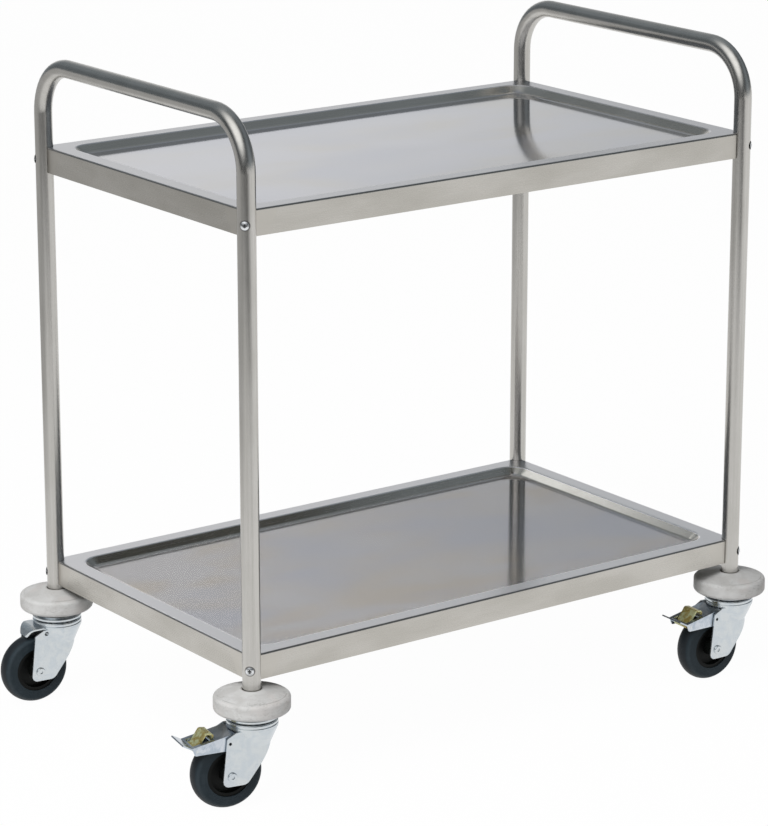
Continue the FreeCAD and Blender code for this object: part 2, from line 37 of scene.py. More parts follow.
class Flow:              # one output of a shader node, which Python sums can use
    def __init__(self, finish, node, output=0):
        self.finish = finish
        self.node = node
        self.socket = node.outputs[output]

    def out(self, output):
        return Flow(self.finish, self.node, output)

    def sum(self, operation, *values):
        return self.finish.add("ShaderNodeMath", {"operation": operation}, dict(enumerate(values)))

    def __add__(self, other):
        return self.sum("ADD", self, other)

    def __radd__(self, other):
        return self.sum("ADD", other, self)

    def __sub__(self, other):
        return self.sum("SUBTRACT", self, other)

    def __rsub__(self, other):
        return self.sum("SUBTRACT", other, self)

    def __mul__(self, other):
        return self.sum("MULTIPLY", self, other)

    def __rmul__(self, other):
        return self.sum("MULTIPLY", other, self)

    def __truediv__(self, other):
        return self.sum("DIVIDE", self, other)

    def __rtruediv__(self, other):
        return self.sum("DIVIDE", other, self)

    def __pow__(self, other):
        return self.sum("POWER", self, other)

    def __abs__(self):
        return self.sum("ABSOLUTE", self)

    def most(self, other):
        return self.sum("MAXIMUM", self, other)

    def sign(self):
        return self.sum("SIGN", self)

    def cosine(self):
        return self.sum("COSINE", self)


class Finish:            # a material, or the world, whose nodes are added by one method
    def __init__(self, owner):
        owner.use_nodes = True
        self.owner = owner
        self.nodes = owner.node_tree.nodes
        self.links = owner.node_tree.links

    def add(self, kind, settings=None, sockets=None):
        node = self.nodes.new(kind)
        for name, value in (settings or {}).items():
            setattr(node, name, value)
        for name, value in (sockets or {}).items():
            self.feed(node.inputs[name], value)
        return Flow(self, node)

    def feed(self, socket, value):
        if isinstance(value, Flow):
            self.links.new(value.socket, socket)
        else:
            socket.default_value = value

    def surface(self, settings):          # sockets of the shader that shows
        for name, value in settings.items():
            self.feed(self.nodes["Principled BSDF"].inputs[name], value)
        return self.owner

    def place(self):                      # where a point is on the piece, in metres
        return self.add("ShaderNodeTexCoord").out("Object")

    def split(self, vector):
        parts = self.add("ShaderNodeSeparateXYZ", None, {"Vector": vector})
        return parts.out("X"), parts.out("Y"), parts.out("Z")

    def vector(self, operation, first, second):
        return self.add("ShaderNodeVectorMath", {"operation": operation}, {0: first, 1: second})

    def stretched(self, vector, sizes):   # one unit of the result is one grain of that size
        scale = tuple(1 / size for size in sizes)
        return self.add("ShaderNodeMapping", None, {"Vector": vector, "Scale": scale})

    def cloud(self, vector, sizes, detail=4.0, rough=0.55, twist=0.0):
        return self.add("ShaderNodeTexNoise", None, {
            "Vector": self.stretched(vector, sizes),
            "Scale": 1.0,
            "Detail": detail,
            "Roughness": rough,
            "Distortion": twist,
        })

    def ease(self, value, low, high):     # 0 below low, 1 above high
        sockets = {"Value": value, "From Min": low, "From Max": high}
        return self.add("ShaderNodeMapRange", {"interpolation_type": "SMOOTHSTEP"}, sockets)

    def band(self, value, middle, half, soft):
        away = abs(value - middle)
        return 1 - self.ease(away, half, half + soft)

    def mix(self, share, first, second):  # colours, whose sockets have these numbers
        return self.add("ShaderNodeMix", {"data_type": "RGBA"}, {0: share, 6: first, 7: second}).out(2)

    def bump(self, height, depth, strength=1.0, under=None):
        sockets = {"Height": height, "Distance": depth, "Strength": strength}
        if under:
            sockets["Normal"] = under
        return self.add("ShaderNodeBump", None, sockets)


def reach(first, second):                 # length of a step in two directions at right angles
    return (first * first + second * second) ** 0.5


def blend(share, first, second):          # as mix, for plain numbers
    return first * (1 - share) + second * share


def spread(pattern):                      # how far a cloud is above or below its middle
    return pattern - 0.5


def evenly(size):                         # a grain of the same size in all directions
    return (size, size, size)


def tone(red, green, blue):               # a colour as it shows on screen, 0 to 255
    linear = []
    for part in (red, green, blue):
        share = part / 255
        linear.append(share / 12.92 if share <= 0.04045 else ((share + 0.055) / 1.055) ** 2.4)
    return (*linear, 1.0)


def newFinish(name):
    return Finish(bpy.data.materials.new(name))


# Places on the cart that several finishes use

legX = abs(joints["front_left_swivel_turn"]["pos_m"][0])
legY = abs(joints["front_left_swivel_turn"]["pos_m"][1])
tubeRadius = (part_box("left_end_frame")[1].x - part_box("left_end_frame")[0].x) / 2


def middleHeight(node):
    low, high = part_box(node)
    return (low.z + high.z) / 2


screwHeights = (middleHeight("upper_tray_screws"), middleHeight("lower_tray_screws"))


def screwMeasure(x, y, z, height):        # outward along a corner screw, across it, and away from its axis
    sideX = abs(x) - legX
    sideY = abs(y) - legY
    outward = (sideX + sideY) * math.sqrt(0.5)
    across = (sideX - sideY) * math.sqrt(0.5)
    return outward, across, reach(across, z - height)


def axleDistance(finish, place, leg):     # away from a wheel's axle
    axle = joints[leg + "_wheel_roll"]
    step = finish.vector("SUBTRACT", place, axle["pos_m"])
    along = finish.vector("DOT_PRODUCT", step, axle["axis"]).out("Value")
    whole = finish.vector("DOT_PRODUCT", step, step).out("Value")
    return (whole - along * along).most(0.0) ** 0.5


# Stainless tube

tubeLook = {
    "bright": tone(198, 196, 192),
    "dull": tone(185, 183, 178),
    "grain": (0.7 * mm, 40 * mm),         # width and length of a polishing mark
    "streak": (4.5 * mm, 420 * mm),       # broader bands left by the drawing of the tube
    "patch": (28 * mm, 28 * mm, 70 * mm),
    "shares": (0.25, 0.40, 0.35),         # of marks, streaks and patches in the shade
    "shadeRange": (0.36, 0.64),
    "handleRange": (0.868, 0.915),        # heights where the marks turn to run along the handle
    "bendRadius": 70 * mm,
    "roughness": 0.25,
    "bentRoughness": 0.28,                # bending opens the grain of the handles
    "bentRange": (0.848, 0.878),          # heights where that begins
    "unevenness": 0.06,                   # of the roughness
    "relief": (0.006 * mm, 0.4),          # depth of the marks and how strongly it shows
    "screwShade": tone(62, 62, 62),       # painted shadow round the head of a corner screw
    "screwShadeRange": (6.3 * mm, 7.6 * mm),
    "screwShadeOutward": (0.0, 4 * mm),   # on the outer half of the tube alone
    "screwShadeShare": 0.8,
}


def tubeRound(finish, x, y, z):           # the way out from the tube's bent middle line
    bend = tubeLook["bendRadius"]
    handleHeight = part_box("left_end_frame")[1].z - tubeRadius
    beyondY = (abs(y) - (legY - bend)).most(0.0)
    beyondZ = (z - (handleHeight - bend)).most(0.0)
    share = 1 - bend / reach(beyondY, beyondZ)
    out = {"X": x - x.sign() * legX, "Y": beyondY * share * y.sign(), "Z": beyondZ * share}
    return finish.vector("NORMALIZE", finish.add("ShaderNodeCombineXYZ", None, out), (0, 0, 0))


def satinTube():
    finish = newFinish("satin_tube")
    place = finish.place()
    x, y, z = finish.split(place)
    width, length = tubeLook["grain"]
    broad, run = tubeLook["streak"]
    onHandle = finish.ease(z, *tubeLook["handleRange"])
    legMarks = finish.cloud(place, (width, width, length))
    handleMarks = finish.cloud(place, (width, length, width))
    marks = blend(onHandle, legMarks, handleMarks)
    legStreaks = finish.cloud(place, (broad, broad, run), detail=2.0)
    handleStreaks = finish.cloud(place, (broad, run, broad), detail=2.0)
    streaks = blend(onHandle, legStreaks, handleStreaks)
    patches = finish.cloud(place, tubeLook["patch"], detail=3.0)
    ofMarks, ofStreaks, ofPatches = tubeLook["shares"]
    worn = marks * ofMarks + streaks * ofStreaks + patches * ofPatches
    steel = finish.mix(finish.ease(worn, *tubeLook["shadeRange"]), tubeLook["dull"], tubeLook["bright"])
    # painted shadow: a darker ring on the tube round each corner screw's head
    for height in screwHeights:
        outward, _, away = screwMeasure(x, y, z, height)
        screwShadow = 1 - finish.ease(away, *tubeLook["screwShadeRange"])
        screwShadow = screwShadow * finish.ease(outward, *tubeLook["screwShadeOutward"])
        steel = finish.mix(screwShadow * tubeLook["screwShadeShare"], steel, tubeLook["screwShade"])
    bent = finish.ease(z, *tubeLook["bentRange"])
    satin = tubeLook["roughness"] + bent * (tubeLook["bentRoughness"] - tubeLook["roughness"])
    uneven = (spread(marks) + spread(patches)) * tubeLook["unevenness"]
    return finish.surface({
        "Base Color": steel,
        "Metallic": 1.0,
        "Roughness": satin + uneven,
        "Normal": finish.bump(marks, *tubeLook["relief"], tubeRound(finish, x, y, z)),
    })


# Stainless trays

trayLook = {
    "apron": tone(196, 193, 187),
    "apronDull": tone(183, 180, 173),
    "grain": (0.7 * mm, 55 * mm),         # width and length of a polishing mark
    "patch": (130 * mm, 90 * mm, 40 * mm),
    "shares": (0.3, 0.7),                 # of marks and patches in the shade
    "shadeRange": (0.34, 0.66),
    "apronRoughness": 0.28,
    "apronUnevenness": 0.10,
    "relief": (0.008 * mm, 0.3),          # depth of the marks and how strongly it shows
    "endEdge": (3 * mm, 1 * mm),          # an edge begins so far from the outside and is full so far from it
    "rimEdge": (1.6 * mm, 0.6 * mm),
    "rimRoughness": 0.30,
    "foldShadeTone": tone(112, 110, 106),      # painted shade along the outer fold, which catches little light
    "foldEdge": (2.2 * mm, 1.2 * mm),
    "foldInset": (1.4 * mm, 0.6 * mm),
    "foldShares": (0.8, 0.3),             # of that tone, and how much less of it on the ends
    "foldRoughness": 0.45,
    "cornerDressed": tone(200, 196, 188),
    "cornerEdge": (36 * mm, 31 * mm),     # how far the ground welds reach along the aprons
    "cornerSlant": (0.5, 12 * mm),        # slope of the line where they end, and how far it wanders
    "cornerShare": 0.45,
    "cornerRoughness": 0.05,              # added by the grinding
    "rim": 25 * mm,
    "rimSoft": 1 * mm,
    "wallRun": 14 * mm,
    "wallSoft": 3 * mm,
    "wallRoughness": 0.26,
    "drift": (420 * mm, 260 * mm, 200 * mm),
    # the warm and cool tints of the decks are painted reflections
    "reflectedWarmRange": (0.38, 0.66),
    "reflectedCoolRange": (0.42, 0.60),
    "deckRoughness": 0.09,
    "deckUnevenness": (0.03, 0.05),       # by the marks and by the clouds
    "haze": 0.10,                         # the share of light that the polished decks scatter
    "swellRun": 250 * mm,                 # how far the deck's swell runs along X
    "under": tone(108, 107, 101),         # painted shade on the undersides, whose roughness is also raised
    "underRange": (-0.6, -0.2),           # how far down a face points
    "underRoughness": 0.55,
}
upperDeckLook = {
    "rim": tone(211, 210, 212),
    "plain": tone(173, 174, 180),
    # warm and cool: painted reflections in the upper deck
    "warm": tone(174, 172, 169),
    "reflectedCool": tone(168, 170, 178),
    "clouds": (260 * mm, 150 * mm, 100 * mm),
    "crest": 0.35,                        # where along X a shallow swell of the deck is highest
    "swell": 5.4 * mm,
}
lowerDeckLook = {
    "rim": tone(234, 232, 233),
    "plain": tone(183, 180, 180),
    # warm and cool: painted reflections in the lower deck
    "warm": tone(182, 174, 164),
    "reflectedCool": tone(175, 175, 181),
    "clouds": (190 * mm, 130 * mm, 100 * mm),
    "crest": 0.0,
    "swell": 0.5 * mm,
}


def traySheet(name, node, deckLook):
    finish = newFinish(name)
    low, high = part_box(node)
    place = finish.place()
    x, y, z = finish.split(place)

    def within(inset, soft):              # 1 inside that distance from the tray's sides, 0 outside
        inX = 1 - finish.ease(abs(x), high.x - inset - soft, high.x - inset + soft)
        inY = 1 - finish.ease(abs(y), high.y - inset - soft, high.y - inset + soft)
        return inX * inY

    def nearing(value, outside, start, full):
        return finish.ease(value, outside - start, outside - full)

    inRecess = within(trayLook["rim"], trayLook["rimSoft"])
    onDeck = within(trayLook["rim"] + trayLook["wallRun"], trayLook["wallSoft"])
    onEnd = nearing(abs(x), high.x, *trayLook["endEdge"])
    onRim = nearing(z, high.z, *trayLook["rimEdge"])
    onFold = nearing(z, high.z, *trayLook["foldEdge"]) * (1 - within(*trayLook["foldInset"]))

    width, length = trayLook["grain"]
    lengthwise = finish.cloud(place, (length, width, width))
    crosswise = finish.cloud(place, (width, length, width))
    marks = blend(onEnd, lengthwise, crosswise)
    patches = finish.cloud(place, trayLook["patch"], detail=3.0, rough=0.5, twist=0.4)
    ofMarks, ofPatches = trayLook["shares"]
    shade = finish.ease(marks * ofMarks + patches * ofPatches, *trayLook["shadeRange"])
    apron = finish.mix(shade, trayLook["apronDull"], trayLook["apron"])

    slope, wander = trayLook["cornerSlant"]
    slant = (z - low.z) * slope + spread(patches) * wander
    nearEnd = nearing(abs(x) + slant, high.x, *trayLook["cornerEdge"])
    nearSide = nearing(abs(y) + slant, high.y, *trayLook["cornerEdge"])
    dressed = nearEnd * nearSide * (1 - inRecess.most(onRim))
    apron = finish.mix(dressed * trayLook["cornerShare"], apron, trayLook["cornerDressed"])
    apron = finish.mix(onRim, apron, deckLook["rim"])
    # painted shade: the outer fold gets a darker colour
    foldShare, lessOnEnds = trayLook["foldShares"]
    apron = finish.mix(onFold * (foldShare - onEnd * lessOnEnds), apron, trayLook["foldShadeTone"])

    clouds = finish.cloud(place, deckLook["clouds"], detail=3.0, rough=0.5, twist=0.3)
    drift = finish.cloud(place, trayLook["drift"], detail=2.0)
    # painted reflections: warm and cool clouds tint the polished deck
    deck = finish.mix(finish.ease(clouds, *trayLook["reflectedWarmRange"]), deckLook["plain"], deckLook["warm"])
    deck = finish.mix(finish.ease(drift, *trayLook["reflectedCoolRange"]), deck, deckLook["reflectedCool"])

    plainRoughness = trayLook["apronRoughness"]
    satin = plainRoughness + spread(marks) * trayLook["apronUnevenness"] + dressed * trayLook["cornerRoughness"]
    satin = satin + onRim * (trayLook["rimRoughness"] - plainRoughness)
    satin = satin + inRecess * (1 - onRim) * (trayLook["wallRoughness"] - plainRoughness)
    satin = satin + onFold * (trayLook["foldRoughness"] - trayLook["rimRoughness"])
    byMarks, byClouds = trayLook["deckUnevenness"]
    polished = trayLook["deckRoughness"] + spread(marks) * byMarks + spread(clouds) * byClouds

    # faces that point down get painted shade in their colour, and more roughness
    facing = finish.split(finish.add("ShaderNodeNewGeometry").out("True Normal"))[2]
    under = 1 - finish.ease(facing, *trayLook["underRange"])
    fromCrest = (x - deckLook["crest"]) / trayLook["swellRun"]
    bowed = finish.bump(fromCrest.cosine(), deckLook["swell"])
    return finish.surface({
        "Base Color": finish.mix(under, finish.mix(onDeck, apron, deck), trayLook["under"]),
        "Metallic": 1 - onDeck * trayLook["haze"],
        "Roughness": blend(onDeck, satin, polished).most(under * trayLook["underRoughness"]),
        "Normal": finish.bump(marks, *trayLook["relief"], bowed),
    })


# Corner screws, their blocks and the balls

screwLook = {
    "bright": tone(230, 232, 234),
    "scratched": tone(176, 180, 184),
    "scratch": (1.5 * mm, 1.5 * mm, 0.6 * mm),
    "scratchRange": (0.52, 0.70),
    "scratchRoughness": 0.15,
    "relief": (0.03 * mm, 0.3),
    "roughness": 0.16,
    # painted shade: the cross recess and the edge of the head are darkened
    "paintedShade": tone(26, 27, 28),
    "paintedShadeShare": 0.92,
    "shadedRoughness": 0.3,
    "driveHalf": (0.75 * mm, 1.05 * mm),  # half the width of the cross recess, sharp and soft
    "driveReach": (2.6 * mm, 3.0 * mm),
    "driveHeight": (0.0, 0.4 * mm),       # above the tube
    "skirtReach": (5.3 * mm, 5.9 * mm),   # the edge of the head, where shade is painted
    "skirtHeight": (0.3 * mm, 0.9 * mm),
}


def brightScrew(name, node):
    finish = newFinish(name)
    place = finish.place()
    x, y, z = finish.split(place)
    height = middleHeight(node)
    outward, across, away = screwMeasure(x, y, z, height)
    above = outward - tubeRadius
    scratch = finish.cloud(place, screwLook["scratch"], detail=5.0)
    steel = finish.mix(finish.ease(scratch, *screwLook["scratchRange"]), screwLook["bright"], screwLook["scratched"])
    inReach = 1 - finish.ease(away, *screwLook["driveReach"])
    upright = 1 - finish.ease(abs(across), *screwLook["driveHalf"])
    level = 1 - finish.ease(abs(z - height), *screwLook["driveHalf"])
    inDrive = upright.most(level) * inReach * finish.ease(above, *screwLook["driveHeight"])
    skirt = finish.ease(away, *screwLook["skirtReach"]) * (1 - finish.ease(above, *screwLook["skirtHeight"]))
    # painted shade in the recess and at the head's edge, which are also rougher
    shadedParts = inDrive.most(skirt)
    rough = scratch * screwLook["scratchRoughness"] + shadedParts * screwLook["shadedRoughness"]
    return finish.surface({
        "Base Color": finish.mix(shadedParts * screwLook["paintedShadeShare"], steel, screwLook["paintedShade"]),
        "Metallic": 1.0,
        "Roughness": screwLook["roughness"] + rough,
        "Normal": finish.bump(scratch, *screwLook["relief"]),
    })


steelLook = {
    "tone": tone(190, 192, 196),
    "oily": tone(150, 146, 136),
    "film": 4 * mm,
    "filmRange": (0.45, 0.70),
    "filmRoughness": 0.2,
    "roughness": 0.15,
}


def hardSteel():
    finish = newFinish("hard_steel")
    film = finish.cloud(finish.place(), evenly(steelLook["film"]), detail=3.0)
    return finish.surface({
        "Base Color": finish.mix(finish.ease(film, *steelLook["filmRange"]), steelLook["tone"], steelLook["oily"]),
        "Metallic": 1.0,
        "Roughness": steelLook["roughness"] + film * steelLook["filmRoughness"],
    })


# Plated castor steel

platingLook = {                           # what the pedals share with the rest
    "mottle": 14 * mm,
    "mottleRange": (0.38, 0.64),
    "spot": 2.0 * mm,
    "spotRange": (0.70, 0.86),
    "spotShare": 0.35,
    "rubbed": (6 * mm, 6 * mm, 1.2 * mm),
    "rubbedRange": (0.60, 0.78),
    "rubbedShare": 0.35,
    "unevenness": (0.12, 0.10),           # of the roughness, by the mottle and by the spots
    "reliefShares": (0.85, 0.15),         # of mottle and spots
    "relief": (0.08 * mm, 0.18),
}
zincLook = {
    "pale": tone(209, 214, 216),
    "blue": tone(200, 207, 212),
    "stain": tone(140, 146, 149),
    "roughness": 0.22,
    "metallic": 0.92,
}
pedalLook = {
    "pale": tone(206, 212, 219),
    "blue": tone(178, 188, 199),
    "stain": tone(96, 102, 108),
    "roughness": 0.20,
    "metallic": 0.95,
}


def blueZinc(name, look):
    finish = newFinish(name)
    place = finish.place()
    mottle = finish.cloud(place, evenly(platingLook["mottle"]), twist=0.8)
    spots = finish.cloud(place, evenly(platingLook["spot"]), detail=3.0)
    rubbed = finish.cloud(place, platingLook["rubbed"], rough=0.6, twist=1.0)
    atRubbed = finish.ease(rubbed, *platingLook["rubbedRange"]) * platingLook["rubbedShare"]
    atSpots = finish.ease(spots, *platingLook["spotRange"]) * platingLook["spotShare"]
    plate = finish.mix(finish.ease(mottle, *platingLook["mottleRange"]), look["blue"], look["pale"])
    plate = finish.mix(atRubbed, plate, look["blue"])
    byMottle, bySpots = platingLook["unevenness"]
    ofMottle, ofSpots = platingLook["reliefShares"]
    return finish.surface({
        "Base Color": finish.mix(atSpots, plate, look["stain"]),
        "Metallic": look["metallic"],
        "Roughness": look["roughness"] + spread(mottle) * byMottle + spread(spots) * bySpots,
        "Normal": finish.bump(mottle * ofMottle + spots * ofSpots, *platingLook["relief"]),
    })


goldLook = {
    "gold": tone(166, 150, 88),
    "green": tone(198, 202, 158),
    "brown": tone(104, 86, 44),
    "sheen": 9 * mm,
    "sheenRange": (0.42, 0.62),
    "speck": 1.6 * mm,
    "speckRange": (0.60, 0.80),
    "speckShare": 0.4,
    "roughness": 0.30,
    "unevenness": 0.2,
    "relief": (0.05 * mm, 0.3),
    "metallic": 0.60,
}


def goldZinc():
    finish = newFinish("gold_zinc")
    place = finish.place()
    sheen = finish.cloud(place, evenly(goldLook["sheen"]), detail=3.0, rough=0.5, twist=1.0)
    specks = finish.cloud(place, evenly(goldLook["speck"]), detail=3.0)
    atSpecks = finish.ease(specks, *goldLook["speckRange"]) * goldLook["speckShare"]
    plate = finish.mix(finish.ease(sheen, *goldLook["sheenRange"]), goldLook["gold"], goldLook["green"])
    return finish.surface({
        "Base Color": finish.mix(atSpecks, plate, goldLook["brown"]),
        "Metallic": goldLook["metallic"],
        "Roughness": goldLook["roughness"] + spread(sheen) * goldLook["unevenness"],
        "Normal": finish.bump(specks, *goldLook["relief"]),
    })


# Bumpers, tyres and mouldings

bumperLook = {
    "clean": tone(199, 199, 198),
    "dusty": tone(184, 183, 181),
    "dust": (24 * mm, 24 * mm, 12 * mm),
    "dustRange": (0.32, 0.68),
    "warm": tone(194, 189, 186),
    "tint": (40 * mm, 40 * mm, 30 * mm),
    "tintRange": (0.50, 0.68),
    "tintShare": 0.6,
    "grain": 1.2 * mm,
    "scuff": tone(104, 101, 97),
    "scrape": (9 * mm, 2.2 * mm, 1.4 * mm),
    "scrapeRange": (0.54, 0.66),
    "scraped": (30 * mm, 30 * mm, 26 * mm),  # size of the places that are scraped
    "scrapedRange": (0.42, 0.56),
    "edgeRange": (34 * mm, 44 * mm),      # away from the leg, where the scuffs get stronger
    "innerScuffs": 0.35,                  # the share of them further in
    "scuffShare": 0.6,
    "topEdge": (12 * mm, 8 * mm),         # below the top, where the upper face begins and is full
    "line": (46 * mm, 0.35 * mm, 0.5 * mm),  # fine line left by the mould: radius, half width, soft edge
    "lineRange": (0.44, 0.56),            # it shows in places
    "lineShare": 0.45,
    # painted shadow in a ring round the tube on the bumper's top
    "tubeShadow": tone(118, 115, 108),
    "tubeShadowReach": 16.5 * mm,
    "tubeShadowShare": 0.85,
    "roughness": 0.58,
    "unevenness": 0.2,
    "reliefShares": (0.4, 0.4, 0.4, 0.6), # of grain, dust, scuffs and line
    "relief": (0.25 * mm, 0.4),
}


def bumperRubber(leg):
    finish = newFinish(leg + "_bumper_rubber")
    node = leg + "_bumper"
    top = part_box(node)[1].z
    centre = joints[leg + "_swivel_turn"]["pos_m"]
    place = finish.place()
    x, y, z = finish.split(place)
    away = reach(x - centre[0], y - centre[1])
    start, full = bumperLook["topEdge"]
    onTop = finish.ease(z, top - start, top - full)
    dust = finish.cloud(place, bumperLook["dust"], detail=5.0, rough=0.6, twist=0.5)
    tint = finish.cloud(place, bumperLook["tint"], detail=2.0)
    grain = finish.cloud(place, evenly(bumperLook["grain"]), detail=3.0)
    scrape = finish.cloud(place, bumperLook["scrape"], detail=5.0, rough=0.65, twist=1.8)
    scraped = finish.cloud(place, bumperLook["scraped"], detail=2.0)

    inner = bumperLook["innerScuffs"]
    scuffs = finish.ease(scrape, *bumperLook["scrapeRange"]) * finish.ease(scraped, *bumperLook["scrapedRange"])
    scuffs = scuffs * (inner + finish.ease(away, *bumperLook["edgeRange"]) * (1 - inner))
    line = finish.band(away, *bumperLook["line"]) * onTop * finish.ease(tint, *bumperLook["lineRange"])
    # painted shadow where the tube meets the bumper
    tubeShadow = (1 - finish.ease(away, tubeRadius, bumperLook["tubeShadowReach"])) * onTop
    tinted = finish.ease(tint, *bumperLook["tintRange"]) * bumperLook["tintShare"]
    skin = finish.mix(finish.ease(dust, *bumperLook["dustRange"]), bumperLook["clean"], bumperLook["dusty"])
    skin = finish.mix(tinted, skin, bumperLook["warm"])
    skin = finish.mix(tubeShadow * bumperLook["tubeShadowShare"], skin, bumperLook["tubeShadow"])
    skin = finish.mix(scuffs * bumperLook["scuffShare"], skin, bumperLook["scuff"])

    ofGrain, ofDust, ofScuffs, ofLine = bumperLook["reliefShares"]
    height = grain * ofGrain + dust * ofDust - scuffs * ofScuffs - line * ofLine
    return finish.surface({
        "Base Color": finish.mix(line * bumperLook["lineShare"], skin, bumperLook["scuff"]),
        "Roughness": bumperLook["roughness"] + spread(dust) * bumperLook["unevenness"],
        "Normal": finish.bump(height, *bumperLook["relief"]),
    })


tyreLook = {
    "side": tone(33, 43, 49),
    "dusty": tone(45, 54, 60),
    "bloom": 16 * mm,
    "bloomRange": (0.42, 0.72),
    "bloomShare": 0.7,
    "grain": 0.9 * mm,
    "wear": 5 * mm,
    "tread": tone(28, 33, 37),
    "treadRange": (46.5 * mm, 48.5 * mm), # away from the axle
    "treadPolish": 0.06,                  # how much smoother it is
    # partly painted highlight along the tread's shoulder, partly lighter worn rubber
    "shoulder": tone(50, 58, 63),
    "shoulderBand": (44.5 * mm, 0.6 * mm, 2.2 * mm),  # radius, half width, soft edge
    "shoulderShares": (0.25, 0.5),        # of painted highlight everywhere, and more added with wear
    "ringBand": (35.5 * mm, 0.6 * mm, 0.5 * mm),      # raised ring next to the wheel centre
    "roughness": 0.55,
    "unevenness": 0.2,
    "specular": 0.2,
    "reliefShares": (0.3, 0.3),           # of grain and wear, next to the ring
    "relief": (0.25 * mm, 0.4),
}


def tyreRubber(leg):
    finish = newFinish(leg + "_tyre_rubber")
    place = finish.place()
    away = axleDistance(finish, place, leg)
    bloom = finish.cloud(place, evenly(tyreLook["bloom"]))
    grain = finish.cloud(place, evenly(tyreLook["grain"]), detail=3.0)
    wear = finish.cloud(place, evenly(tyreLook["wear"]), rough=0.6, twist=0.6)
    ring = finish.band(away, *tyreLook["ringBand"])
    onTread = finish.ease(away, *tyreLook["treadRange"])
    shoulder = finish.band(away, *tyreLook["shoulderBand"])
    bloomed = finish.ease(bloom, *tyreLook["bloomRange"]) * tyreLook["bloomShare"]
    everywhere, byWear = tyreLook["shoulderShares"]
    rubber = finish.mix(bloomed, tyreLook["side"], tyreLook["dusty"])
    rubber = finish.mix(onTread, rubber, tyreLook["tread"])
    # painted highlight on the shoulder, stronger where the wear cloud is high
    rubber = finish.mix(shoulder * (everywhere + wear * byWear), rubber, tyreLook["shoulder"])
    uneven = spread(bloom) * tyreLook["unevenness"] - onTread * tyreLook["treadPolish"]
    ofGrain, ofWear = tyreLook["reliefShares"]
    return finish.surface({
        "Base Color": rubber,
        "Specular IOR Level": tyreLook["specular"],
        "Roughness": tyreLook["roughness"] + uneven,
        "Normal": finish.bump(grain * ofGrain + wear * ofWear * onTread + ring, *tyreLook["relief"]),
    })


mouldingLook = {
    "black": tone(10, 12, 11),
    "grey": tone(22, 24, 24),
    "dust": 15 * mm,
    "dustRange": (0.50, 0.80),
    "dustShare": 0.5,
    "pebble": 1.1 * mm,
    "relief": (0.06 * mm, 0.4),
    "roughness": 0.52,
    "unevenness": 0.2,
    "specular": 0.15,
}


def blackMoulding(name):
    finish = newFinish(name)
    place = finish.place()
    pebble = finish.cloud(place, evenly(mouldingLook["pebble"]), detail=3.0)
    dust = finish.cloud(place, evenly(mouldingLook["dust"]), detail=3.0)
    dusted = finish.ease(dust, *mouldingLook["dustRange"]) * mouldingLook["dustShare"]
    return finish.surface({
        "Base Color": finish.mix(dusted, mouldingLook["black"], mouldingLook["grey"]),
        "Specular IOR Level": mouldingLook["specular"],
        "Roughness": mouldingLook["roughness"] + spread(pebble) * mouldingLook["unevenness"],
        "Normal": finish.bump(pebble, *mouldingLook["relief"]),
    })


# Finishes on the pieces

finishes = {
    "brushed_tube": satinTube(),
    "zinc_steel": blueZinc("blue_zinc", zincLook),
    "yellow_zinc": goldZinc(),
    "bearing_steel": hardSteel(),
    "black_plastic": blackMoulding("black_moulding"),
    "pad_rubber": blackMoulding("pad_rubber"),
}
pedalFinish = blueZinc("pedal_zinc", pedalLook)
nodeFinishes = {                          # pieces that don't have the finish of their slot
    "upper_tray": traySheet("upper_tray_sheet", "upper_tray", upperDeckLook),
    "lower_tray": traySheet("lower_tray_sheet", "lower_tray", lowerDeckLook),
}
for level in ("upper_tray", "lower_tray"):
    nodeFinishes[level + "_screws"] = brightScrew(level + "_screw_steel", level + "_screws")
    nodeFinishes[level + "_nuts"] = finishes["bearing_steel"]
for leg in legNames:
    nodeFinishes[leg + "_bumper"] = bumperRubber(leg)
    nodeFinishes[leg + "_tyre"] = tyreRubber(leg)
for leg in brakedLegs:
    nodeFinishes[leg + "_brake_pedal"] = pedalFinish
slotOf = {part["node"]: part["material_slot"] for part in frame["record"]["subparts"]}
for name, piece in nodes.items():
    piece.data.materials.clear()
    piece.data.materials.append(nodeFinishes.get(name) or finishes[slotOf[name]])
print("finishes:", len({piece.data.materials[0].name for piece in nodes.values()}))


# Stage, lamps and camera

stageLook = {
    "floorHalf": 40.0,
    "floorTone": (0.80, 0.80, 0.80, 1.0),
    "floorRoughness": 0.9,
    "floorWhite": 0.98,                   # share of plain white in what is seen of the floor
    "leftFalloff": (1.4, 3.0, 0.45),      # the floor in metal dims to the back left: from, to, by
    "nearFalloff": (2.75, 3.1, 0.92),     # and in front: from, to, by
    "nearSlant": (0.6, -0.2),             # nearer per metre to the right, counted from there
    "nearEnd": (1.3, 2.6),                # on the right it stops dimming between these
    "fill": 0.36,                         # light from all round on what isn't shiny
    "frontRange": (-0.3, 0.2),            # from behind to in front, in a direction of length 1
    "backdropFold": (0.23, 0.28, 0.45),   # the backdrop in metal dims with height: from, to, by
    "backdropTop": (0.35, 0.46, 0.42),    # and again at its top
    "backdropLeft": (-0.6, -0.2),         # it begins on the left between these
    "backdropRight": (-0.06, 0.12, 0.40), # dims to the right: from, to, by
    "backdropEnd": (0.15, 0.40),          # and ends between these
    "room": (0.88, 1.0, 1.10),            # tint of the room round it
    "roomLevels": (0.09, 0.17, 0.22),     # its light everywhere, added behind, and added at the front right
    "roomRight": (0.5, 0.9),
    "dimLow": (0.35, 0.60),               # below these heights what is added behind gets less
    "dimRight": 0.65,                     # past the backdrop's right end, by
    "dimLeft": (-0.85, -0.60, 0.50),      # and on the far left: from, to, by
    "glow": (0.66, 0.98, 1.5),            # the top box in metal: from, to, and how bright
    "glowHeight": 0.9,                    # on the front left leg, from where its direction is taken
}
